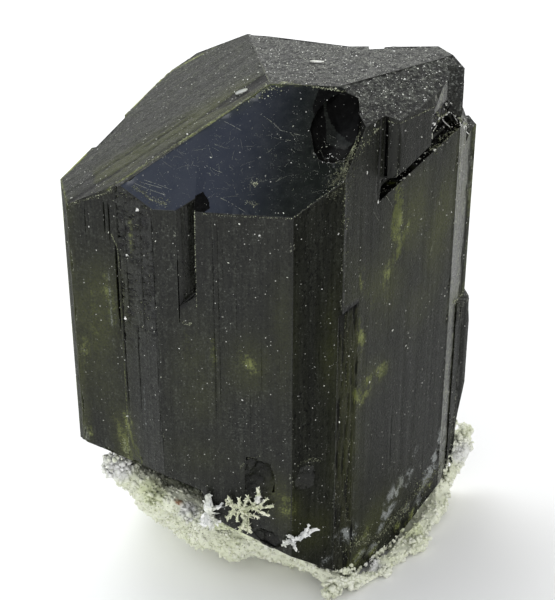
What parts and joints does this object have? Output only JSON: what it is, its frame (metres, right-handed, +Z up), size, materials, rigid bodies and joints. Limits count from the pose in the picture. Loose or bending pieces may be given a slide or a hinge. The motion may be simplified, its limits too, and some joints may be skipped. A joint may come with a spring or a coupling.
{
  "type": "epidote crystal cluster",
  "caption": "Stout dark striated crystal with sloping terminal faces, standing upright in a pale granular crust with small white crystal sprays; a display mineral specimen.",
  "frame": {"origin": "centre of the bounding box at the level of the flat foot that the cluster rests on", "axes": "+Z up along the crystal's prism faces, -Y towards the broad front faces, +X towards the face with the slot and the raised block"},
  "size_m": [0.0392, 0.027, 0.0485],
  "materials": {
    "epidote": "glassy, nearly black green, striated prism faces, pebbled roof",
    "crust": "granular, pale green to white",
    "white_crystal": "sugary white with a little sparkle",
    "cream_crystal": "sugary cream with a little sparkle"
  },
  "bodies": {
    "root": {"epidote_crystal": "epidote", "matrix_crust": "crust", "white_spray_left": "white_crystal", "cream_spray": "cream_crystal", "white_spray_right": "white_crystal"}
  },
  "joints": []
}
